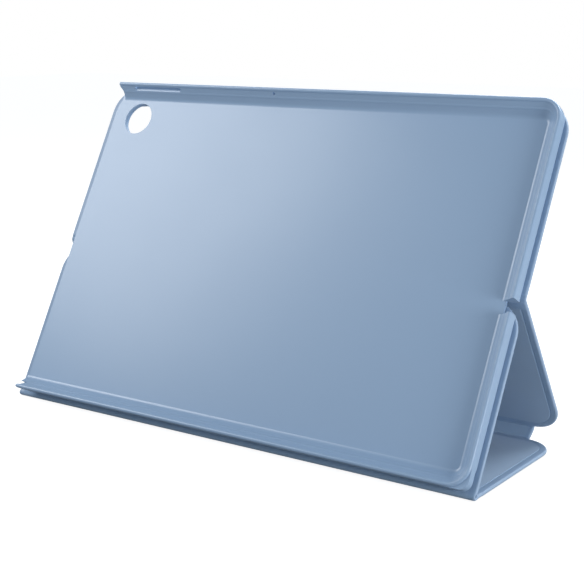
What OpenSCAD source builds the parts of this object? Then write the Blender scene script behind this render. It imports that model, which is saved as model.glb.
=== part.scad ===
// Fold-over stand case for an eleven-inch-class tablet, standing as a triangle.
// A hard tray holds the tablet; a jointed cover of stiff panels runs behind and under it.
// Millimetres, +Z up, front faces -Y, origin at the middle of the footprint on the table.

/* [Cover] */
// width of the cover along X
cover_w = 260; // [240:1:280]
// thickness of each stiffened cover panel
panel_t = 1.8; // [1.6:0.1:2.4]
// corner radius of the cover panels
corner_r = 14; // [8:0.5:18]
// thickness of the coated fabric skin
skin_t = 0.5; // [0.3:0.05:0.7]
// depth of the skin turned over each panel edge
edge_t = 0.6; // [0.4:0.1:1]
// width of the skin border turned in over the lining side
border_w = 3.2; // [2:0.1:5]
// thickness of the soft lining
lining_t = 0.4; // [0.3:0.05:0.6]

/* [Tray] */
// outer edge of the tray on the walled short side
tray_right = 128.6; // [120:0.1:129]
// edge of the tray floor on the open short side
tray_left = 126.2; // [120:0.1:130]
// height of the tray's lower edge along its slope
tray_low = 3; // [2:0.5:8]
// height of the tray's upper edge along its slope
tray_high = 174; // [160:0.5:180]
// thickness of the tray floor
floor_t = 1.2; // [0.8:0.1:2]
// depth of the tray from its back to the rim
rim_h = 7.5; // [6:0.1:10]
// thickness of the tray wall at its rim
wall_t = 2; // [1.6:0.1:2.4]
// radius of the camera window
window_r = 8.6; // [6:0.1:12]
// distance of the camera window from the middle, towards the open side
window_x = 109.4; // [90:0.1:115]
// height of the camera window along the slope
window_v = 155.9; // [140:0.1:160]

/* [Stand] */
// lean of the tray back from upright, in degrees
lean = 28.6; // [20:0.1:35]
// height of the crease across the back, along the slope
crease_v = 86; // [80:0.5:90]
// top edge of the prop panel along the slope
prop_top = 84; // [78:0.5:85]
// rear end of the base panel, from the front crease
base_end = 82.2; // [78:0.1:86]
// length of the spine strip between its two creases
spine_l = 7.2; // [6:0.1:10]
// rise of the spine strip, in degrees
spine_rise = 37.7; // [30:0.5:55]
// width of the spine strip
spine_w = 232; // [210:1:250]

/* [Hidden] */
$fn = 64;

slope = 90 - lean;                       // rise of the tray and prop panel
shift_y = -42.002;                       // front crease to the middle of the footprint
glue = 0.1;                              // adhesive line between panel and tray
run = 0.3;                               // free air between pieces that move apart
fit = 0.02;                              // air between pieces that are bonded in place
eps = 0.01;
half_w = cover_w / 2;
crease_h = panel_t / 2;                  // height of the rear crease lines in the panel
crease_gap = 1.25;                       // end of a panel back from its crease line
back_w0 = -(panel_t + glue);             // outer face of the back panel
prop_w1 = -run;                          // outer face of the prop panel
prop_w0 = prop_w1 - panel_t;
// rear crease lines, as (y, z) from the front crease
low_pin = [base_end, crease_h];
high_pin = low_pin + spine_l * [cos(spine_rise), sin(spine_rise)];
mid_w = back_w0 + crease_h;
mid_pin = [crease_v * sin(lean) - mid_w * cos(lean),
           crease_v * cos(lean) + mid_w * sin(lean)];
flap_run = mid_pin - high_pin;
flap_l = norm(flap_run);
flap_rise = atan2(flap_run[1], flap_run[0]);
// front crease line, above the base and inside the prop panel
front_z = panel_t + 0.15;
front_w = prop_w0 - 0.15;
front_y = (sin(lean) * front_z - front_w) / cos(lean);
prop_low = 3.75;                         // lower end of the prop panel along the slope
base_start = 4.1;                        // front end of the base panel
back_low = crease_v + crease_gap + 0.6;
back_high = 174;
// tray wall
rim_r = wall_t / 2;
wall_r = 10;                             // tray corner radius
free_r = 15;                             // upper floor corner on the open side
free_low_r = 3;                          // lower one
wall_draft = 5;                          // how much thicker the wall is at its foot
fillet_r = 3;                            // between floor and wall
fillet_dip = 0.02;                       // so that the fillet meets the floor at an angle
heel_r = 2.5;                            // outside edge round the back
pad_r = 4;                               // outer corner by the lower end of the short wall
wall_cut = 9;                            // reach of a cut through the whole wall
slot_x0 = -114;                          // button opening in the upper wall
slot_x1 = -83;
slot_w = 4.7;
slot_h = 1.6;
mic_x = -23.5;
mic_r = 0.7;
port_v0 = 78;                            // port gap in the short wall
port_v1 = 84;
port_x = 122.6;                          // how far in the gap cuts the floor
upper_tip = -124.4;                      // free ends of the long walls
upper_foot = -122.8;
lower_tip = -127;
lower_foot = -119;

blue = [0.55, 0.66, 0.79];
deep = [0.42, 0.53, 0.66];
pale = [0.62, 0.72, 0.83];
grey = [0.45, 0.45, 0.43];
steel = [0.62, 0.63, 0.65];

// puts a piece on a sheet plane that starts at p = (y, z) and rises by e degrees
module on_sheet(p, e) {
    translate([0, p[0] + shift_y, p[1]]) rotate([e, 0, 0]) children();
}

// flat outline across X, from y0 to y1, with its own corner radius at each end
module outline(w, y0, y1, r0, r1) {
    h = w / 2;
    union() {
        translate([-h, y0 + r0]) square([w, y1 - y0 - r0 - r1]);
        translate([-h + r0, y0]) square([w - 2 * r0, r0 + eps]);
        translate([-h + r1, y1 - r1 - eps]) square([w - 2 * r1, r1 + eps]);
        for (s = [-1, 1]) {
            if (r0 > 0) translate([s * (h - r0), y0 + r0]) circle(r = r0);
            if (r1 > 0) translate([s * (h - r1), y1 - r1]) circle(r = r1);
        }
    }
}

// outline drawn in by d on every side
module inset(w, y0, y1, r0, r1, d) {
    outline(w - 2 * d, y0 + d, y1 - d, max(r0 - d, 0.5), max(r1 - d, 0.5));
}

// one slab of a panel, from height z0 to z1
module slab(z0, z1) {
    translate([0, 0, z0]) linear_extrude(z1 - z0) children();
}

// skin wrapped round a panel: outer face at height 0, turned-in border on top
module wrap(w, y0, y1, r0, r1) {
    difference() {
        slab(0, panel_t) outline(w, y0, y1, r0, r1);
        slab(skin_t, panel_t - lining_t) inset(w, y0, y1, r0, r1, edge_t);
        slab(panel_t - lining_t - eps, panel_t + 1) inset(w, y0, y1, r0, r1, border_w);
    }
}

module stiffener(w, y0, y1, r0, r1) {
    slab(skin_t + fit, panel_t - lining_t - fit)
        inset(w, y0, y1, r0, r1, edge_t + fit);
}

module lining(w, y0, y1, r0, r1) {
    slab(panel_t - lining_t, panel_t - 0.05)
        inset(w, y0, y1, r0, r1, border_w + fit);
}

module window_hole(r) {
    translate([-window_x, window_v, -10]) cylinder(r = r, h = 30);
}

// the four sheets, each with its outline
module tray_sheet() { on_sheet([0, 0], slope) children(); }
module back_outline() { outline(cover_w, back_low, back_high, 2, corner_r); }
module prop_place() {
    // outer face at height 0, lining side on top
    on_sheet([0, 0], slope) translate([0, 0, prop_w1]) mirror([0, 0, 1]) children();
}
module flap_place() { on_sheet(high_pin, flap_rise) translate([0, 0, -crease_h]) children(); }
module spine_place() { on_sheet(low_pin, spine_rise) translate([0, 0, -crease_h]) children(); }
module base_place() { translate([0, shift_y, 0]) children(); }

// tray wall section: x is the distance out from the corner centre, y the height. The outer
// face stands square to the floor, the inner face slopes to suit a tapered back edge.
rim_x = wall_r - rim_r;
rim_y = rim_h - rim_r;
foot_x = wall_r - wall_t - wall_draft;
bed_x = foot_x - 0.7;
slant = [wall_draft, rim_y - floor_t] / norm([wall_draft, rim_y - floor_t]);
// middle of the fillet: its own radius from the sloping face and just in the floor
fillet_y = floor_t + fillet_r - fillet_dip;
fillet_x = foot_x + ((fillet_y - floor_t) * slant[0] - fillet_r) / slant[1];
fillet_end = [fillet_x + fillet_r * slant[1], fillet_y - fillet_r * slant[0]];

module wall_section() {
    union() {
        polygon([[bed_x, 0], [wall_r - heel_r, 0], [wall_r - heel_r, heel_r],
                 [wall_r, heel_r], [wall_r, rim_y], [wall_r - wall_t, rim_y],
                 [foot_x, floor_t], [bed_x, floor_t]]);
        translate([rim_x, rim_y]) circle(r = rim_r);
        translate([wall_r - heel_r, heel_r]) circle(r = heel_r);
        difference() {
            polygon([[fillet_x, floor_t - eps], [foot_x + 1, floor_t - eps], fillet_end]);
            translate([fillet_x, fillet_y]) circle(r = fillet_r);
        }
    }
}

module wall_run(l) {
    rotate([90, 0, 0]) translate([0, 0, -l]) linear_extrude(l) wall_section();
}

module wall_corner() { rotate_extrude(angle = 90) wall_section(); }

// fills out the lower corner of the short wall, outside the round pocket corner
module corner_pad() {
    translate([0, 0, heel_r]) linear_extrude(rim_y - heel_r) difference() {
        union() {
            translate([0, -wall_r + pad_r]) square([wall_r, wall_r - pad_r]);
            translate([0, -wall_r]) square([wall_r - pad_r, pad_r + eps]);
            translate([wall_r - pad_r, -wall_r + pad_r]) circle(r = pad_r);
        }
        circle(r = rim_x);
    }
}

module tray_walls() {
    cx = tray_right - wall_r;
    cl = tray_low + wall_r;
    ch = tray_high - wall_r;
    // short wall in two lengths with the port gap between them
    translate([cx, cl, 0]) wall_run(port_v0 - cl);
    translate([cx, port_v1, 0]) wall_run(ch - port_v1);
    translate([cx, ch, 0]) wall_corner();
    translate([cx, cl, 0]) rotate([0, 0, -90]) wall_corner();
    translate([cx, cl, 0]) corner_pad();
    // long walls, running to their free ends
    translate([cx, ch, 0]) rotate([0, 0, 90]) wall_run(cx - upper_tip);
    translate([lower_tip, cl, 0]) rotate([0, 0, -90]) wall_run(cx - lower_tip);
}

// floor drawn back to where the rounded heel of the walls begins
module floor_outline() {
    wide = tray_right + tray_left;
    difference() {
        translate([(tray_right - tray_left) / 2, 0])
            outline(wide, tray_low, tray_high, free_low_r, free_r);
        for (v = [tray_low - wall_r + heel_r, tray_high - heel_r])
            translate([-wide, v]) square([2 * wide, wall_r]);
        translate([tray_right - heel_r, 0]) square([wall_r, port_v0]);
        translate([tray_right - heel_r, port_v1]) square([wall_r, tray_high]);
        for (s = [[tray_low + wall_r, -90], [tray_high - wall_r, 0]])
            translate([tray_right - wall_r, s[0]]) rotate(s[1]) difference() {
                square(wall_r + 1);
                circle(r = wall_r - heel_r);
            }
    }
}

module tray_shell() {
    color(blue) tray_sheet() difference() {
        union() {
            linear_extrude(floor_t) floor_outline();
            tray_walls();
        }
        window_hole(window_r);
        translate([port_x, port_v0, -1]) cube([wall_r, port_v1 - port_v0, rim_h + 2]);
        // slanted free ends of the long walls
        translate([0, tray_high + 1, 0]) rotate([90, 0, 0]) linear_extrude(wall_cut)
            polygon([[-half_w, rim_h + 1], [upper_tip, rim_h + 1], [upper_tip, rim_y - 0.6],
                     [upper_foot, 4.3], [upper_foot, floor_t], [-half_w, floor_t]]);
        translate([-half_w, tray_high - heel_r, -1])
            cube([half_w + upper_foot, heel_r + 1, floor_t + 1]);
        translate([0, tray_low + 4, 0]) rotate([90, 0, 0]) linear_extrude(5)
            polygon([[lower_tip - 1, rim_h + 1], [lower_tip, rim_h], [-122.5, 4.4],
                     [lower_foot, floor_t], [lower_foot, -1], [lower_tip - 1, -1]]);
        // button opening with round ends, and the microphone hole
        for (x = [slot_x0 + slot_h / 2, slot_x1 - slot_h / 2])
            translate([x, tray_high + 1, slot_w + slot_h / 2])
                rotate([90, 0, 0]) cylinder(d = slot_h, h = wall_cut);
        translate([slot_x0 + slot_h / 2, tray_high + 1 - wall_cut, slot_w])
            cube([slot_x1 - slot_x0 - slot_h, wall_cut, slot_h]);
        translate([mic_x, tray_high + 1, rim_y - 1]) rotate([90, 0, 0])
            cylinder(r = mic_r, h = wall_cut);
        keeper_pockets(0);
    }
}

// thin steel plates let into the back of the tray, behind the prop panel's magnets
keeper_at = [[-92, 62], [-32, 62], [32, 62], [92, 62]];
keeper_size = [20, 8, 0.5];
module keeper_pockets(air) {
    for (k = keeper_at)
        translate([k[0] - keeper_size[0] / 2 + air, k[1] - keeper_size[1] / 2 + air, -eps + air])
            cube([keeper_size[0] - 2 * air, keeper_size[1] - 2 * air, keeper_size[2] - 2 * air]);
}
module keeper_plates() { color(steel) tray_sheet() keeper_pockets(fit); }

module tray_adhesive() {
    color(grey) tray_sheet() difference() {
        slab(-glue - lining_t, -fit)
            inset(cover_w, back_low, back_high - 4, 2, corner_r, border_w + 4 + fit);
        window_hole(window_r + 2.4);
    }
}

module back_skin() {
    color(blue) tray_sheet() translate([0, 0, back_w0]) difference() {
        union() {
            wrap(cover_w, back_low, back_high, 2, corner_r);
            // skin turned in round the camera window
            translate([-window_x, window_v, eps]) cylinder(r = window_r + 2, h = panel_t - eps);
        }
        window_hole(window_r);
    }
}

module back_board() {
    color(grey) tray_sheet() translate([0, 0, back_w0]) difference() {
        stiffener(cover_w, back_low, back_high, 2, corner_r);
        window_hole(window_r + 2 + fit);
    }
}

// crease of skin and lining alone: a bead round its own crease line
module crease_bead(w, r) {
    rotate([0, 90, 0]) translate([0, 0, -w / 2]) cylinder(r = r, h = w);
}

module mid_crease() {
    color(deep) translate([0, mid_pin[0] + shift_y, mid_pin[1]])
        crease_bead(cover_w - 4, crease_h);
}
module upper_rear_crease() {
    color(deep) translate([0, high_pin[0] + shift_y, high_pin[1]])
        crease_bead(spine_w - 4, crease_h);
}
module lower_rear_crease() {
    color(deep) translate([0, low_pin[0] + shift_y, low_pin[1]])
        crease_bead(spine_w - 4, crease_h);
}

// flap hanging down behind the tray
flap_y0 = crease_gap;
flap_y1 = flap_l - crease_gap;
module flap_skin() { color(blue) flap_place() wrap(cover_w, flap_y0, flap_y1, corner_r, 2); }
module flap_board() {
    color(grey) flap_place() stiffener(cover_w, flap_y0, flap_y1, corner_r, 2);
}
module flap_lining() {
    color(pale) flap_place() lining(cover_w, flap_y0, flap_y1, corner_r, 2);
}

// spine strip between the two rear creases
spine_y0 = crease_gap;
spine_y1 = spine_l - crease_gap;
spine_border = 1.2;
module spine_skin() {
    color(blue) spine_place() difference() {
        slab(0, panel_t) outline(spine_w, spine_y0, spine_y1, 1, 1);
        slab(skin_t, panel_t - lining_t) inset(spine_w, spine_y0, spine_y1, 1, 1, edge_t);
        slab(panel_t - lining_t - eps, panel_t + 1)
            inset(spine_w, spine_y0, spine_y1, 1, 1, spine_border);
    }
}
module spine_stiffener() {
    color(grey) spine_place() stiffener(spine_w, spine_y0, spine_y1, 1, 1);
}
module spine_lining() {
    color(pale) spine_place() slab(panel_t - lining_t, panel_t - 0.05)
        inset(spine_w, spine_y0, spine_y1, 1, 1, spine_border + fit);
}

// base panel lying on the table, lining side up
base_y1 = base_end - crease_gap;
module base_skin() { color(blue) base_place() wrap(cover_w, base_start, base_y1, 2, corner_r); }
module base_board() {
    color(grey) base_place() stiffener(cover_w, base_start, base_y1, 2, corner_r);
}
module base_lining() {
    color(pale) base_place() lining(cover_w, base_start, base_y1, 2, corner_r);
}

// front crease: the skin bulges forward in a round lip below the tray
lip_r = 1.4;
lip_c = [1.75, 1.4];
module lip_section(r) {
    difference() {
        union() {
            translate(lip_c) circle(r = lip_r);
            translate([lip_c[0], 0]) square([base_start - fit - lip_c[0], skin_t + 0.2]);
            // short upstand towards the prop panel
            translate(lip_c) rotate(slope) translate([0, lip_r - 0.7]) square([1.3, 0.7]);
        }
        translate(lip_c) circle(r = lip_r - 0.7);
        translate([lip_c[0], skin_t + 0.2]) square([4, 1.2]);
    }
}
module front_crease() {
    color(blue) base_place() rotate([90, 0, 90]) translate([0, 0, -half_w])
        linear_extrude(cover_w) lip_section();
}
// lining carried through the crease, inside the lip
module front_crease_lining() {
    color(pale) base_place() rotate([90, 0, 90])
        translate([0, 0, -half_w + border_w]) linear_extrude(cover_w - 2 * border_w)
            translate(lip_c) circle(r = lip_r - 0.7 - fit);
}

// prop panel behind the tray's lower half
module prop_skin() { color(blue) prop_place() wrap(cover_w, prop_low, prop_top, 2, corner_r); }
magnet_size = [14, 6];
magnet_at = [[-92, 62], [-32, 62], [32, 62], [92, 62]];
wake_at = [-104, 28];
wake_size = [10, 5];
module prop_board() {
    color(grey) prop_place() difference() {
        stiffener(cover_w, prop_low, prop_top, 2, corner_r);
        for (m = magnet_at) translate([m[0], m[1], panel_t / 2])
            cube([magnet_size[0], magnet_size[1], panel_t], center = true);
        translate([wake_at[0], wake_at[1], panel_t / 2])
            cube([wake_size[0], wake_size[1], panel_t], center = true);
    }
}
module prop_lining() {
    color(pale) prop_place() lining(cover_w, prop_low, prop_top, 2, corner_r);
}
module board_insert(p, s) {
    translate([p[0] - s[0] / 2 + fit, p[1] - s[1] / 2 + fit, skin_t + 2 * fit])
        cube([s[0] - 2 * fit, s[1] - 2 * fit, panel_t - lining_t - skin_t - 4 * fit]);
}
module prop_magnets() {
    color(steel) prop_place() for (m = magnet_at) board_insert(m, magnet_size);
}
module wake_magnet() { color(steel) prop_place() board_insert(wake_at, wake_size); }

tray_shell();
tray_adhesive();
keeper_plates();
back_skin();
back_board();
mid_crease();
flap_skin();
flap_board();
flap_lining();
upper_rear_crease();
spine_skin();
spine_stiffener();
spine_lining();
lower_rear_crease();
base_skin();
base_board();
base_lining();
front_crease();
front_crease_lining();
prop_skin();
prop_board();
prop_lining();
prop_magnets();
wake_magnet();
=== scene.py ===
import math
import bmesh
import bpy
import numpy as np
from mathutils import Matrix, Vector

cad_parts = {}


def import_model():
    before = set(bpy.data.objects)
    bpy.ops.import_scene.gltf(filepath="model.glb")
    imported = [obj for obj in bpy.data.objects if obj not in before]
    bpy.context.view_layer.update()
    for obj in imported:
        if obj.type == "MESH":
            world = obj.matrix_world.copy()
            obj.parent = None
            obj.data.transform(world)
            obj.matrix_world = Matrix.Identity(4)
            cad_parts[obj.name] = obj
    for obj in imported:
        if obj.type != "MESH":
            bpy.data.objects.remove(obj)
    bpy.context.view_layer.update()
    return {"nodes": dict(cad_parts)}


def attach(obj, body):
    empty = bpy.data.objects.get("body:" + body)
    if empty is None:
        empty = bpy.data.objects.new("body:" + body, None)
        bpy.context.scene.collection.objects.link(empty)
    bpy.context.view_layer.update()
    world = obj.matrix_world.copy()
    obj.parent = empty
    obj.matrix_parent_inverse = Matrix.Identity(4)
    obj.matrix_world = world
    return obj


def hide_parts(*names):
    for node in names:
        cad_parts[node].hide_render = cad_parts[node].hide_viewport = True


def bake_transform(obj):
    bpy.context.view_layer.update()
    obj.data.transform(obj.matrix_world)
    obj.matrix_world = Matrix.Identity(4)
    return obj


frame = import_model()
print("frame loaded")

mm = 0.001

# the stand seen from its side: y runs back from the front crease, z up
stand = {
    "shift": -42.002,      # front crease to the middle of the footprint
    "rise": 61.4,          # slope of the tray and the prop panel, degrees
    "halfWidth": 130.0,    # half the cover's width
    "panel": 1.8,          # thickness of a stiffened panel
    "propFace": -0.3,      # the prop's outer face, from the tray's back
    "backFace": -1.9,      # the back panel's outer face
    "lowPin": (82.2, 0.9),
    "spineRise": 37.7,
    "spineLength": 7.2,
    "creaseV": 86.0,
    "creaseGap": 1.25,
    "propTop": 84.0,       # upper edges of the prop and back panels, up the slope
    "backTop": 174.0,
    "window": (-109.4, 155.9, 8.6),   # camera window: across, up the slope, radius
    "spineHalf": 116.0,    # half the spine strip's width
}

# camera

cameraSettings = {
    "place": (346.25, -476.63, 188.09),
    "turn": 35.05,         # degrees round from straight on
    "dip": 12.02,          # degrees below level
    "lens": 78.61,
}


def addCamera(cfg):
    data = bpy.data.cameras.new("studioCamera")
    data.lens = cfg["lens"]
    data.sensor_width = 36
    data.clip_start = 0.01
    data.dof.use_dof = False
    cam = bpy.data.objects.new("studioCamera", data)
    bpy.context.scene.collection.objects.link(cam)
    turn, dip = math.radians(cfg["turn"]), math.radians(cfg["dip"])
    look = Vector((-math.sin(turn) * math.cos(dip), math.cos(turn) * math.cos(dip), -math.sin(dip)))
    cam.location = [c * mm for c in cfg["place"]]
    cam.rotation_euler = look.to_track_quat("-Z", "Y").to_euler()
    bpy.context.scene.camera = cam


addCamera(cameraSettings)
print("camera placed")

# planes of the panels: each gives world points from (x, s, h), all in mm


def plane(origin, rise):
    # a point s along the panel and h above its outer face is the origin plus
    # s times the slope direction plus h times the direction square to it
    a = math.radians(rise)
    along = np.array([math.cos(a), math.sin(a)])
    up = np.array([-math.sin(a), math.cos(a)])

    def place(x, s, h):
        x, s, h = np.broadcast_arrays(x, s, h)
        y = origin[0] + s * along[0] + h * up[0] + stand["shift"]
        z = origin[1] + s * along[1] + h * up[1]
        return np.stack([x, y, z], -1) * mm
    place.origin, place.along, place.up = np.array(origin, float), along, up
    return place


def yz(place, s, h):
    # the same point in the side view, without the shift
    return place.origin + s * place.along + h * place.up


trayPlane = plane((0, 0), stand["rise"])
basePlane = plane((0, 0), 0)
lowPin = np.array(stand["lowPin"])
spinePlane = plane(tuple(lowPin), stand["spineRise"])
highPin = yz(spinePlane, stand["spineLength"], 0)
midPin = yz(trayPlane, stand["creaseV"], stand["backFace"] + stand["panel"] / 2)
flapRun = midPin - highPin
flapLength = float(np.hypot(*flapRun))
flapRise = math.degrees(math.atan2(flapRun[1], flapRun[0]))
flapPlane = plane(tuple(highPin), flapRise)


def world(point, x=0.0):
    return (x * mm, (point[0] + stand["shift"]) * mm, point[1] * mm)


# mesh makers


def addMesh(name, verts, faces, materials, faceSlots=None, attributes=()):
    mesh = bpy.data.meshes.new(name)
    mesh.from_pydata(verts.reshape(-1, 3).tolist(), [], faces)
    for m in materials:
        mesh.materials.append(m)
    if faceSlots is not None:
        mesh.polygons.foreach_set("material_index", np.asarray(faceSlots, np.int32))
    mesh.polygons.foreach_set("use_smooth", np.ones(len(mesh.polygons), bool))
    for label, values in attributes:
        layer = mesh.attributes.new(label, "FLOAT", "POINT")
        layer.data.foreach_set("value", np.asarray(values, np.float32).ravel())
    mesh.update()
    obj = bpy.data.objects.new(name, mesh)
    bpy.context.scene.collection.objects.link(obj)
    return obj


def gridFaces(rows, cols, wrapRows=False):
    # quads between neighbouring rows; columns always close round
    r = np.arange(rows if wrapRows else rows - 1)[:, None]
    c = np.arange(cols)[None, :]
    r2, c2 = (r + 1) % rows, (c + 1) % cols
    quads = np.stack([r * cols + c, r * cols + c2, r2 * cols + c2, r2 * cols + c], -1)
    return quads.reshape(-1, 4)


def smoothStep(t):
    t = np.clip(t, 0, 1)
    return t * t * (3 - 2 * t)


def roundedOutline(halfWidth, low, high, lowRadius, highRadius, arcSteps=20, sideSteps=24):
    # rounded rectangle walked anticlockwise; a radius of 0 leaves a straight cut end whose
    # points draw in sideways only; returns points and the inward direction at each
    points, inward = [], []

    def run(a, b, direction, n):
        t = np.linspace(0, 1, n, endpoint=False)[:, None]
        points.append(np.array(a) * (1 - t) + np.array(b) * t)
        inward.append(np.repeat([direction], n, 0))

    def arc(cx, cy, radius, start):
        a = np.radians(np.linspace(start, start + 90, arcSteps, endpoint=False))
        ring = np.stack([np.cos(a), np.sin(a)], -1)
        points.append(np.array([cx, cy]) + radius * ring)
        inward.append(-ring)

    w, lr, hr = halfWidth, lowRadius, highRadius
    if lr > 0:
        run((-w + lr, low), (w - lr, low), (0, 1), sideSteps)
        arc(w - lr, low + lr, lr, -90)
    else:
        t = np.linspace(-1, 1, sideSteps + 1)[:, None]
        points.append(np.hstack([t * w, np.full_like(t, low)]))
        inward.append(np.hstack([-t, np.zeros_like(t)]))
    run((w, low + lr), (w, high - hr), (-1, 0), sideSteps)
    if hr > 0:
        arc(w - hr, high - hr, hr, 0)
        run((w - hr, high), (-w + hr, high), (0, -1), sideSteps)
        arc(-w + hr, high - hr, hr, 90)
    else:
        t = np.linspace(1, -1, sideSteps + 1)[:, None]
        points.append(np.hstack([t * w, np.full_like(t, high)]))
        inward.append(np.hstack([-t, np.zeros_like(t)]))
    run((-w, high - hr), (-w, low + lr), (1, 0), sideSteps)
    if lr > 0:
        arc(-w + lr, low + lr, lr, 180)
    return np.vstack(points), np.vstack(inward)


def edgeStations(cfg):
    # (inset, height) pairs from the outer face round the edge to the inner face: a flat,
    # a quarter circle, a short wall, a quarter circle, the border and a soft step down
    t, r = cfg["thick"], cfg["round"]
    a = np.radians(np.linspace(0, 90, 7))
    outer = np.stack([r - r * np.sin(a), r - r * np.cos(a)], -1)
    inner = np.stack([r - r * np.cos(a), t - r + r * np.sin(a)], -1)
    rows = [[6.0, 0.0], [r + 1.2, 0.0], [r + 0.25, 0.0], *outer.tolist(), *inner.tolist()]
    if cfg["border"] > 0:
        b, drop = cfg["border"], cfg["step"]
        rows += [[r + 0.25, t], [b - 0.7, t], [b - 0.3, t - 0.03], [b, t - drop * 0.6],
                 [b + 0.35, t - drop], [6.0, t - drop]]
    else:
        rows += [[r + 0.25, t], [r + 1.2, t], [6.0, t]]
    return np.array(rows)


def addPanel(name, place, outline, cfg, materials, flip=1.0, hole=None):
    # each ring is the outline drawn in by its inset at its height; flip turns a panel whose
    # outer face looks up its plane's own normal. A hole joins both caps through its wall.
    points, inward = outline
    rings = edgeStations(cfg)
    xs = points[None, :, 0] + rings[:, 0, None] * inward[None, :, 0]
    ss = points[None, :, 1] + rings[:, 0, None] * inward[None, :, 1]
    hs = np.repeat(rings[:, 1, None], points.shape[0], 1)
    count = points.shape[0]
    if hole is not None:
        cx, cs, radius = hole
        rx, rs = points[:, 0] - cx, points[:, 1] - cs
        size = np.hypot(rx, rs)
        ux, us = rx / size, rs / size
        lip = cfg["holeRound"]
        a = np.radians(np.linspace(0, 90, 5))
        down = [(radius + 6, 0.0), (radius + lip + 0.3, 0.0)]
        down += [(radius + lip - lip * math.sin(k), lip - lip * math.cos(k)) for k in a]
        t = cfg["thick"]
        up = [(radius, t - lip + lip * math.sin(k)) for k in a[:1]]
        up += [(radius + lip - lip * math.cos(k), t - lip + lip * math.sin(k)) for k in a[1:]]
        up += [(radius + lip + 0.3, t), (radius + 6, t)]
        def ring(r):
            return cx + r * ux, cs + r * us
        hx = [ring(r)[0] for r, h in down + up]
        hy = [ring(r)[1] for r, h in down + up]
        hh = [np.full(count, h) for r, h in down + up]
        xs = np.vstack([xs, hx[::-1]])
        ss = np.vstack([ss, hy[::-1]])
        hs = np.vstack([hs, hh[::-1]])
    edge = np.hypot(xs - points[None, :, 0], ss - points[None, :, 1])
    verts = place(xs, ss, cfg["base"] + flip * hs)
    rows = xs.shape[0]
    faces = gridFaces(rows, count, wrapRows=hole is not None)
    if flip < 0:
        faces = faces[:, ::-1]
    faces = faces.tolist()
    if hole is None:
        first, last = list(range(count)), list(range((rows - 1) * count, rows * count))
        caps = [first[::-1], last] if flip > 0 else [first, last[::-1]]
        faces += caps
    return addMesh(name, verts, faces, materials, attributes=[("edge", edge)])


def pathNormals(centre):
    tangent = np.gradient(centre, axis=0)
    tangent /= np.linalg.norm(tangent, axis=1, keepdims=True)
    return np.stack([-tangent[:, 1], tangent[:, 0]], -1)


def addStrip(name, centre, half, halfWidth, materials, borderWidth=3.2, edgeSteps=8,
             widthSteps=40):
    # a strip swept along a side-view path: at each station the section is a flat slab with
    # half-round ends, of half thickness "half", square to the path
    normal = pathNormals(centre)
    a = np.radians(np.linspace(-90, 90, edgeSteps + 1))
    flat = np.linspace(-1, 1, widthSteps + 1)
    inner = halfWidth - borderWidth
    seg = np.concatenate([[-1], flat * inner / (halfWidth - 1), [1]])
    seg = np.clip(seg, -1, 1)
    # section walked once round: outer face, right end, inner face, left end
    xFlat = seg * (halfWidth - 1)
    ends = len(a) - 2
    x = np.concatenate([xFlat, np.zeros(ends), xFlat[::-1], np.zeros(ends)])
    h = np.concatenate([-np.ones(len(xFlat)), np.sin(a[1:-1]), np.ones(len(xFlat)),
                        -np.sin(a[1:-1])])
    bulge = np.concatenate([np.zeros(len(xFlat)), np.cos(a[1:-1]), np.zeros(len(xFlat)),
                            -np.cos(a[1:-1])])
    side = np.concatenate([np.zeros(len(xFlat)), np.ones(ends), np.zeros(len(xFlat)),
                           -np.ones(ends)])
    xs = x[None, :] + side[None, :] * (halfWidth - 1) + bulge[None, :]
    xs = np.repeat(xs, len(centre), 0)
    y = centre[:, 0, None] + half[:, None] * h[None, :] * normal[:, 0, None] + stand["shift"]
    z = centre[:, 1, None] + half[:, None] * h[None, :] * normal[:, 1, None]
    verts = np.stack([xs, y, z], -1) * mm
    rows, cols = verts.shape[:2]
    quads = gridFaces(rows, cols)
    faces = quads.tolist()
    faces += [list(range(cols)), list(range((rows - 1) * cols, rows * cols))[::-1]]
    start = len(xFlat) + ends
    lined = np.zeros(cols, int)
    lined[start + 1:start + len(xFlat) - 2] = 1
    slots = np.concatenate([np.tile(lined, rows - 1), [0, 0]])
    edge = np.repeat((halfWidth - np.abs(xs[:1])), rows, 0)
    return addMesh(name, verts, faces, materials, faceSlots=slots, attributes=[("edge", edge)])


sharpAngle = math.radians(40)


def turnOut(obj):
    # makes a closed surface face outwards, with square ends kept crisp
    bm = bmesh.new()
    bm.from_mesh(obj.data)
    bmesh.ops.recalc_face_normals(bm, faces=bm.faces[:])
    bm.to_mesh(obj.data)
    bm.free()
    obj.data.set_sharp_from_angle(angle=sharpAngle)
    return obj


# shader groups


def makeGroup(name, inputs, outputs):
    group = bpy.data.node_groups.new(name, "ShaderNodeTree")
    for label, kind, value in inputs:
        s = group.interface.new_socket(name=label, in_out="INPUT", socket_type=kind)
        if value is not None:
            s.default_value = value
    for label, kind in outputs:
        group.interface.new_socket(name=label, in_out="OUTPUT", socket_type=kind)
    return group, group.nodes.new("NodeGroupInput"), group.nodes.new("NodeGroupOutput")


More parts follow.
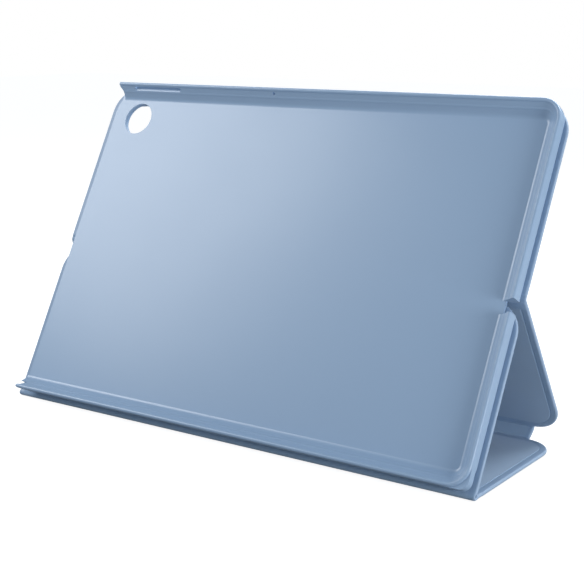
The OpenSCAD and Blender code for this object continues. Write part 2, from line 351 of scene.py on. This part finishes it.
def grainGroup():
    # fine leather-like grain: small cells broken up by noise, with the pits between them
    g, i, o = makeGroup("fineGrain", [("Cell Size", "NodeSocketFloat", 1600.0),
                                      ("Softness", "NodeSocketFloat", 0.5)],
                        [("Height", "NodeSocketFloat")])
    n = g.nodes
    coord = n.new("ShaderNodeTexCoord")
    warp = n.new("ShaderNodeTexNoise")
    warp.inputs["Scale"].default_value = 900
    warp.inputs["Detail"].default_value = 2
    add = n.new("ShaderNodeVectorMath")
    add.operation = "MULTIPLY_ADD"
    add.inputs[1].default_value = (0.0009, 0.0009, 0.0009)
    g.links.new(coord.outputs["Object"], warp.inputs["Vector"])
    g.links.new(warp.outputs["Color"], add.inputs[0])
    g.links.new(coord.outputs["Object"], add.inputs[2])
    cells = n.new("ShaderNodeTexVoronoi")
    cells.feature = "SMOOTH_F1"
    g.links.new(i.outputs["Cell Size"], cells.inputs["Scale"])
    g.links.new(i.outputs["Softness"], cells.inputs["Smoothness"])
    g.links.new(add.outputs[0], cells.inputs["Vector"])
    ramp = n.new("ShaderNodeMapRange")
    ramp.inputs["From Max"].default_value = 0.8
    ramp.inputs["To Min"].default_value = 1
    ramp.inputs["To Max"].default_value = 0
    g.links.new(cells.outputs["Distance"], ramp.inputs["Value"])
    g.links.new(ramp.outputs["Result"], o.inputs["Height"])
    return g


def driftGroup():
    # slow change of tone across a surface, and a faint mottling
    g, i, o = makeGroup("toneDrift", [("Color", "NodeSocketColor", (1, 1, 1, 1)),
                                      ("Shade", "NodeSocketColor", (0.5, 0.5, 0.5, 1)),
                                      ("Scale", "NodeSocketFloat", 9.0),
                                      ("Amount", "NodeSocketFloat", 0.1)],
                        [("Color", "NodeSocketColor"), ("Mask", "NodeSocketFloat")])
    n = g.nodes
    coord = n.new("ShaderNodeTexCoord")
    noise = n.new("ShaderNodeTexNoise")
    noise.inputs["Detail"].default_value = 3
    g.links.new(coord.outputs["Object"], noise.inputs["Vector"])
    g.links.new(i.outputs["Scale"], noise.inputs["Scale"])
    spread = n.new("ShaderNodeMapRange")
    spread.interpolation_type = "SMOOTHERSTEP"
    spread.inputs["From Min"].default_value = 0.2
    spread.inputs["From Max"].default_value = 0.8
    g.links.new(noise.outputs["Fac"], spread.inputs["Value"])
    times = n.new("ShaderNodeMath")
    times.operation = "MULTIPLY"
    g.links.new(spread.outputs["Result"], times.inputs[0])
    g.links.new(i.outputs["Amount"], times.inputs[1])
    mix = n.new("ShaderNodeMix")
    mix.data_type = "RGBA"
    g.links.new(times.outputs[0], mix.inputs["Factor"])
    g.links.new(i.outputs["Color"], mix.inputs["A"])
    g.links.new(i.outputs["Shade"], mix.inputs["B"])
    g.links.new(mix.outputs["Result"], o.inputs["Color"])
    g.links.new(spread.outputs["Result"], o.inputs["Mask"])
    return g


def napGroup():
    # brushed nap: short streaky fibres with soft brushed patches
    g, i, o = makeGroup("brushedNap", [("Fibre Scale", "NodeSocketFloat", 2600.0),
                                       ("Patch Scale", "NodeSocketFloat", 60.0)],
                        [("Height", "NodeSocketFloat"), ("Patches", "NodeSocketFloat")])
    n = g.nodes
    coord = n.new("ShaderNodeTexCoord")
    stretch = n.new("ShaderNodeMapping")
    stretch.inputs["Scale"].default_value = (0.35, 1.0, 1.0)
    g.links.new(coord.outputs["Object"], stretch.inputs["Vector"])
    fibre = n.new("ShaderNodeTexNoise")
    fibre.inputs["Detail"].default_value = 3
    g.links.new(stretch.outputs["Vector"], fibre.inputs["Vector"])
    g.links.new(i.outputs["Fibre Scale"], fibre.inputs["Scale"])
    patch = n.new("ShaderNodeTexNoise")
    patch.inputs["Detail"].default_value = 4
    g.links.new(coord.outputs["Object"], patch.inputs["Vector"])
    g.links.new(i.outputs["Patch Scale"], patch.inputs["Scale"])
    g.links.new(fibre.outputs["Fac"], o.inputs["Height"])
    g.links.new(patch.outputs["Fac"], o.inputs["Patches"])
    return g


fineGrain, toneDrift, brushedNap = grainGroup(), driftGroup(), napGroup()


def startMaterial(name):
    m = bpy.data.materials.new(name)
    m.use_nodes = True
    t = m.node_tree
    shader = next(n for n in t.nodes if n.type == "BSDF_PRINCIPLED")
    return m, t, shader


def addGroup(t, group, **values):
    node = t.nodes.new("ShaderNodeGroup")
    node.node_tree = group
    for key, value in values.items():
        node.inputs[key.replace("_", " ")].default_value = value
    return node


def bumpInto(t, shader, height, strength, distance):
    bump = t.nodes.new("ShaderNodeBump")
    bump.inputs["Strength"].default_value = strength
    bump.inputs["Distance"].default_value = distance
    t.links.new(height, bump.inputs["Height"])
    t.links.new(bump.outputs["Normal"], shader.inputs["Normal"])


def roughFrom(t, shader, mask, low, high):
    r = t.nodes.new("ShaderNodeMapRange")
    r.inputs["To Min"].default_value = low
    r.inputs["To Max"].default_value = high
    t.links.new(mask, r.inputs["Value"])
    t.links.new(r.outputs["Result"], shader.inputs["Roughness"])


plasticLook = {
    "color": (0.320, 0.455, 0.640, 1), "shade": (0.300, 0.430, 0.615, 1), "drift": 0.35,
    "roughLow": 0.30, "roughHigh": 0.33, "grainScale": 2600.0, "bump": 0.03,
}
skinLook = {
    "color": (0.275, 0.400, 0.575, 1), "shade": (0.245, 0.365, 0.535, 1), "drift": 0.45,
    "roughLow": 0.42, "roughHigh": 0.54, "grainScale": 1500.0, "bump": 0.16,
    # painted highlight: the paler blue laid on the skin near its edges stands in for light caught
    # on the rounded edges
    "edgeHighlightColor": (0.46, 0.58, 0.74, 1),
}
liningLook = {
    "color": (0.300, 0.430, 0.600, 1), "shade": (0.265, 0.390, 0.555, 1), "drift": 0.6,
    "bump": 0.25, "sheen": 0.5,
}


def plasticMaterial(cfg):
    m, t, s = startMaterial("trayPlastic")
    drift = addGroup(t, toneDrift, Color=cfg["color"], Shade=cfg["shade"], Scale=14.0,
                     Amount=cfg["drift"])
    t.links.new(drift.outputs["Color"], s.inputs["Base Color"])
    grain = addGroup(t, fineGrain, Cell_Size=cfg["grainScale"], Softness=0.8)
    bumpInto(t, s, grain.outputs["Height"], cfg["bump"], 0.00005)
    roughFrom(t, s, drift.outputs["Mask"], cfg["roughLow"], cfg["roughHigh"])
    s.inputs["Coat Weight"].default_value = 0.12
    s.inputs["Coat Roughness"].default_value = 0.22
    return m


def skinMaterial(cfg):
    m, t, s = startMaterial("coatedFabric")
    drift = addGroup(t, toneDrift, Color=cfg["color"], Shade=cfg["shade"], Scale=22.0,
                     Amount=cfg["drift"])
    # painted highlight: within 1 mm of a panel or strip edge the skin's colour is mixed up to 35%
    # towards a paler blue, standing in for light caught on the rounded edges
    near = t.nodes.new("ShaderNodeAttribute")
    near.attribute_name = "edge"
    edgeHighlightAmount = t.nodes.new("ShaderNodeMapRange")
    edgeHighlightAmount.inputs["From Min"].default_value = 0.0
    edgeHighlightAmount.inputs["From Max"].default_value = 1.0
    edgeHighlightAmount.inputs["To Min"].default_value = 0.35
    edgeHighlightAmount.inputs["To Max"].default_value = 0.0
    t.links.new(near.outputs["Fac"], edgeHighlightAmount.inputs["Value"])
    mix = t.nodes.new("ShaderNodeMix")
    mix.data_type = "RGBA"
    t.links.new(edgeHighlightAmount.outputs["Result"], mix.inputs["Factor"])
    t.links.new(drift.outputs["Color"], mix.inputs["A"])
    mix.inputs["B"].default_value = cfg["edgeHighlightColor"]
    t.links.new(mix.outputs["Result"], s.inputs["Base Color"])
    grain = addGroup(t, fineGrain, Cell_Size=cfg["grainScale"], Softness=0.45)
    bumpInto(t, s, grain.outputs["Height"], cfg["bump"], 0.00012)
    roughFrom(t, s, drift.outputs["Mask"], cfg["roughLow"], cfg["roughHigh"])
    s.inputs["Sheen Weight"].default_value = 0.08
    s.inputs["Sheen Roughness"].default_value = 0.4
    return m


def liningMaterial(cfg):
    m, t, s = startMaterial("softLining")
    nap = addGroup(t, brushedNap, Fibre_Scale=2600.0, Patch_Scale=55.0)
    drift = addGroup(t, toneDrift, Color=cfg["color"], Shade=cfg["shade"], Scale=40.0,
                     Amount=cfg["drift"])
    t.links.new(drift.outputs["Color"], s.inputs["Base Color"])
    bumpInto(t, s, nap.outputs["Height"], cfg["bump"], 0.0001)
    roughFrom(t, s, nap.outputs["Patches"], 0.82, 0.95)
    s.inputs["Sheen Weight"].default_value = cfg["sheen"]
    s.inputs["Sheen Roughness"].default_value = 0.5
    s.inputs["Sheen Tint"].default_value = (0.75, 0.84, 0.95, 1)
    return m


def innerMaterial(name, color, metal, rough):
    m, t, s = startMaterial(name)
    drift = addGroup(t, toneDrift, Color=color, Shade=tuple(c * 0.8 for c in color[:3]) + (1,),
                     Scale=120.0, Amount=0.5)
    t.links.new(drift.outputs["Color"], s.inputs["Base Color"])
    grain = addGroup(t, fineGrain, Cell_Size=2200.0, Softness=0.7)
    bumpInto(t, s, grain.outputs["Height"], 0.1, 0.00008)
    roughFrom(t, s, drift.outputs["Mask"], rough - 0.05, rough + 0.08)
    s.inputs["Metallic"].default_value = metal
    return m


trayPlastic = plasticMaterial(plasticLook)
coatedFabric = skinMaterial(skinLook)
softLining = liningMaterial(liningLook)
boardGrey = innerMaterial("boardGrey", (0.18, 0.18, 0.17, 1), 0.0, 0.85)
platedSteel = innerMaterial("platedSteel", (0.55, 0.56, 0.58, 1), 1.0, 0.35)
gluedFilm = innerMaterial("gluedFilm", (0.10, 0.11, 0.12, 1), 0.0, 0.7)
print("materials made")

# tray and hidden pieces keep their own shapes


def dress(node, material):
    obj = frame["nodes"][node]
    obj.data.materials.clear()
    obj.data.materials.append(material)


for node, material in (
    ("tray_shell", trayPlastic), ("tray_adhesive", gluedFilm), ("keeper_plates", platedSteel),
    ("back_board", boardGrey), ("flap_board", boardGrey), ("base_board", boardGrey),
    ("prop_board", boardGrey), ("spine_stiffener", boardGrey), ("spine_lining", softLining),
    ("front_crease_lining", softLining), ("prop_magnets", platedSteel),
    ("wake_magnet", platedSteel),
):
    dress(node, material)
print("tray and inner pieces dressed")

# cover panels

panelEdge = {"thick": stand["panel"], "round": 0.75, "border": 3.2, "step": 0.16, "base": 0.0}
coverRadius = 14.0
seamAt = {"base": 8.0, "prop": 8.0, "back": 92.0, "flapTop": 5.0}   # where creases take over


def finishPanel(obj, body, slot, *nodes):
    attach(turnOut(obj), body)
    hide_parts(*nodes)


def addBase():
    end = stand["lowPin"][0] - stand["creaseGap"]
    outline = roundedOutline(stand["halfWidth"], seamAt["base"], end, 0, coverRadius)
    skin = addPanel("baseSkin", basePlane, outline, panelEdge, [coatedFabric])
    finishPanel(skin, "base", "cover_skin", "base_skin")


def addProp():
    cfg = dict(panelEdge, base=stand["propFace"])
    outline = roundedOutline(stand["halfWidth"], seamAt["prop"], stand["propTop"], 0, coverRadius)
    skin = addPanel("propSkin", trayPlane, outline, cfg, [coatedFabric], flip=-1.0)
    finishPanel(skin, "prop", "cover_skin", "prop_skin")


def addFlap():
    cfg = dict(panelEdge, base=-stand["panel"] / 2)
    outline = roundedOutline(stand["halfWidth"], stand["creaseGap"],
                             flapLength - seamAt["flapTop"], coverRadius, 0)
    skin = addPanel("flapSkin", flapPlane, outline, cfg, [coatedFabric])
    finishPanel(skin, "flap", "cover_skin", "flap_skin")


def addBack():
    cfg = dict(panelEdge, base=stand["backFace"], border=0, holeRound=0.4)
    outline = roundedOutline(stand["halfWidth"], seamAt["back"], stand["backTop"], 0, coverRadius)
    skin = addPanel("backSkin", trayPlane, outline, cfg, [coatedFabric], hole=stand["window"])
    finishPanel(skin, "tray", "cover_skin", "back_skin")


liningEdge = {"thick": 0.26, "round": 0.12, "border": 0, "step": 0}
liningInset = 3.28         # from the panel's edge, inside the turned-in border
liningSunk = 0.22          # how far each lining's underside lies below the panel's face


def addLining(name, place, low, high, lowRadius, highRadius, base, flip, body, node):
    cfg = dict(liningEdge, base=base)
    outline = roundedOutline(stand["halfWidth"] - liningInset, low, high, lowRadius, highRadius)
    piece = addPanel(name, place, outline, cfg, [softLining], flip=flip)
    finishPanel(piece, body, "lining_fabric", node)


addBase()
addProp()
addFlap()
addBack()
innerRadius = coverRadius - liningInset
top = stand["panel"]
addLining("baseLining", basePlane, seamAt["base"],
          stand["lowPin"][0] - stand["creaseGap"] - liningInset, 0, innerRadius,
          top - liningSunk, 1.0, "base", "base_lining")
addLining("propLining", trayPlane, seamAt["prop"], stand["propTop"] - liningInset, 0,
          innerRadius, stand["propFace"] - top + liningSunk, -1.0, "prop", "prop_lining")
addLining("flapLining", flapPlane, stand["creaseGap"] + liningInset,
          flapLength - seamAt["flapTop"], innerRadius, 0, top / 2 - liningSunk, 1.0, "flap",
          "flap_lining")
print("panels made")

# creases


def bezier(points, steps):
    # a smooth curve through a chain of quadratic arcs whose joints are the midpoints of the
    # control polygon
    pts = np.array(points, float)
    mids = (pts[:-1] + pts[1:]) / 2
    out = []
    start = pts[0]
    for k in range(1, len(pts) - 1):
        end = pts[-1] if k == len(pts) - 2 else mids[k]
        t = np.linspace(0, 1, steps, endpoint=False)[:, None]
        out.append((1 - t) ** 2 * start + 2 * t * (1 - t) * pts[k] + t ** 2 * end)
        start = end
    out.append(pts[-1:])
    return np.vstack(out)


def arcLength(path):
    step = np.linalg.norm(np.diff(path, axis=0), axis=1)
    return np.concatenate([[0], np.cumsum(step)])


def finishCrease(obj, a, b, start, end, slot, *nodes):
    turnOut(obj)
    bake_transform(obj)
    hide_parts(*nodes)


def addFrontCrease():
    # the outer face runs forward along the table, turns up round the lip and leans back
    # into the prop's outer face; the middle line is drawn in by half the thickness
    lip, radius = np.array([1.75, 1.4]), 1.4
    flat = np.stack([np.linspace(8.0, 1.9, 14), np.zeros(14)], -1)
    a = np.radians(np.linspace(270, 151.4, 22))
    bend = lip + radius * np.stack([np.cos(a), np.sin(a)], -1)
    v = np.linspace(2.2, 8.0, 22)
    w = 0.53 + (stand["propFace"] - 0.53) * smoothStep((v - 2.0) / 3.6)
    rising = yz(trayPlane, 0, 0) + v[:, None] * trayPlane.along + w[:, None] * trayPlane.up
    outer = np.vstack([flat, bend, rising])
    run = arcLength(outer)
    # thin in the fold, full panel thickness where the boards begin
    fromEnds = np.minimum(run, run[-1] - run)
    half = 0.45 + (stand["panel"] / 2 - 0.45) * (1 - smoothStep((fromEnds - 3.6) / 1.4))
    normal = pathNormals(outer)
    centre = outer - normal * half[:, None]
    piece = addStrip("frontCrease", centre, half, stand["halfWidth"],
                     [coatedFabric, softLining])
    finishCrease(piece, "base", "prop", world((4.5, 0.9)), world(yz(trayPlane, 5.0, -1.2)),
                 "cover_skin", "front_crease")


def addMidCrease():
    down = -flapPlane.along
    start = yz(trayPlane, seamAt["back"], -0.97)
    knee = yz(trayPlane, 88.4, -0.97)
    path = bezier([start, knee, midPin, midPin + 2.4 * down,
                   midPin + seamAt["flapTop"] * down], 12)
    run = arcLength(path)
    fromEnds = np.minimum(run, run[-1] - run)
    half = 0.50 + (stand["panel"] / 2 - 0.50) * (1 - smoothStep((fromEnds - 3.4) / 1.2))
    piece = addStrip("midCrease", path, half, stand["halfWidth"], [coatedFabric, softLining])
    finishCrease(piece, "flap", "tray", world(midPin + 2.6 * down),
                 world(yz(trayPlane, 88.6, -1.0)), "cover_skin", "mid_crease")


spineBorder = 2.2          # plain fabric along the spine strip's ends


def addSpine():
    # two strips that meet in the middle of the spine; each is as thick as a panel over the
    # stiffener and thins towards the panel it joins
    thin, full = 0.62, stand["panel"] / 2
    length = stand["spineLength"]
    middle = yz(spinePlane, length / 2, 0)
    low = bezier([(79.4, 0.9), tuple(lowPin - (0.3, 0)), tuple(yz(spinePlane, 1.8, 0)),
                  tuple(middle)], 14)
    up = flapPlane.along
    high = bezier([tuple(middle), tuple(yz(spinePlane, length - 0.5, 0)),
                   tuple(highPin + 0.9 * up), tuple(highPin + 3.6 * up)], 14)
    for name, path, a, b, start, end, nodes in (
        ("spineLower", low, "base", "spine", lowPin - (1.2, 0), yz(spinePlane, 1.6, 0),
         ("lower_rear_crease", "spine_skin")),
        ("spineUpper", high, "spine", "flap", yz(spinePlane, length - 1.4, 0),
         highPin + 1.3 * up, ("upper_rear_crease", "spine_lining")),
    ):
        run = arcLength(path)
        reach = run if name == "spineUpper" else run[-1] - run
        half = thin + (full - thin) * (1 - smoothStep((reach - 1.9) / 1.4))
        piece = addStrip(name, path, half, stand["spineHalf"], [coatedFabric, softLining],
                         spineBorder)
        finishCrease(piece, a, b, world(start), world(end), "cover_skin", *nodes)


addFrontCrease()
addMidCrease()
addSpine()
print("creases made")

# studio

studio = {
    "floorHalf": 3.0, "floorDrop": 0.0004,
    "floorGlow": 0.90,         # what the camera sees of the floor without any light on it
    "floorShade": 0.30,        # how much of its light and shadow shows on top
    "floorBounce": 0.36,       # how much light it throws back at the stand
    "backdrop": (1, 1, 1, 1),
    "ambient": (0.80, 0.90, 1.0, 1), "ambientStrength": 0.36,
    # name: place, aim, size, power
    "lights": {
        "keyLight": ((-0.66, -0.34, 0.60), (-0.05, 0, 0.08), (0.45, 0.45), 4.0),
        "topLight": ((0.10, 0.45, 0.58), (0, 0.02, 0.12), (0.80, 0.25), 6.0),
        "sideLight": ((0.68, -0.20, 0.12), (0.10, 0, 0.05), (0.30, 0.20), 2.0),
    },
}


def areaLight(name, place, target, size, power):
    data = bpy.data.lights.new(name, "AREA")
    data.shape = "RECTANGLE"
    data.size, data.size_y = size
    data.energy = power
    light = bpy.data.objects.new(name, data)
    light.location = place
    way = Vector(target) - Vector(place)
    light.rotation_euler = way.to_track_quat("-Z", "Y").to_euler()
    bpy.context.scene.collection.objects.link(light)


def buildFloor(cfg):
    edge = np.linspace(-cfg["floorHalf"], cfg["floorHalf"], 2)
    gx, gy = np.meshgrid(edge, edge)
    verts = np.stack([gx, gy, np.full_like(gx, -cfg["floorDrop"])], -1)
    floor = addMesh("studioFloor", verts, [[0, 1, 3, 2]], [])
    m, t, s = startMaterial("paleFloor")
    s.inputs["Roughness"].default_value = 0.9
    s.inputs["Specular IOR Level"].default_value = 0.0
    s.inputs["Emission Color"].default_value = (1, 1, 1, 1)
    path = t.nodes.new("ShaderNodeLightPath")
    for target, seen, unseen in (("Base Color", cfg["floorShade"], cfg["floorBounce"]),
                                 ("Emission Strength", cfg["floorGlow"], 0.0)):
        pick = t.nodes.new("ShaderNodeMapRange")
        pick.inputs["To Min"].default_value = unseen
        pick.inputs["To Max"].default_value = seen
        t.links.new(path.outputs["Is Camera Ray"], pick.inputs["Value"])
        t.links.new(pick.outputs["Result"], s.inputs[target])
    floor.data.materials.append(m)


def buildWorld(cfg):
    world = bpy.data.worlds.new("studioWorld")
    bpy.context.scene.world = world
    world.use_nodes = True
    t = world.node_tree
    ambient = t.nodes["Background"]
    ambient.inputs["Color"].default_value = cfg["ambient"]
    ambient.inputs["Strength"].default_value = cfg["ambientStrength"]
    backdrop = t.nodes.new("ShaderNodeBackground")
    backdrop.inputs["Color"].default_value = cfg["backdrop"]
    path, mix = t.nodes.new("ShaderNodeLightPath"), t.nodes.new("ShaderNodeMixShader")
    t.links.new(path.outputs["Is Camera Ray"], mix.inputs["Fac"])
    t.links.new(ambient.outputs["Background"], mix.inputs[1])
    t.links.new(backdrop.outputs["Background"], mix.inputs[2])
    t.links.new(mix.outputs["Shader"], t.nodes["World Output"].inputs["Surface"])


bpy.context.scene.view_settings.view_transform = "Standard"
buildFloor(studio)
buildWorld(studio)
for name, spec in studio["lights"].items():
    areaLight(name, *spec)
print("studio lit")
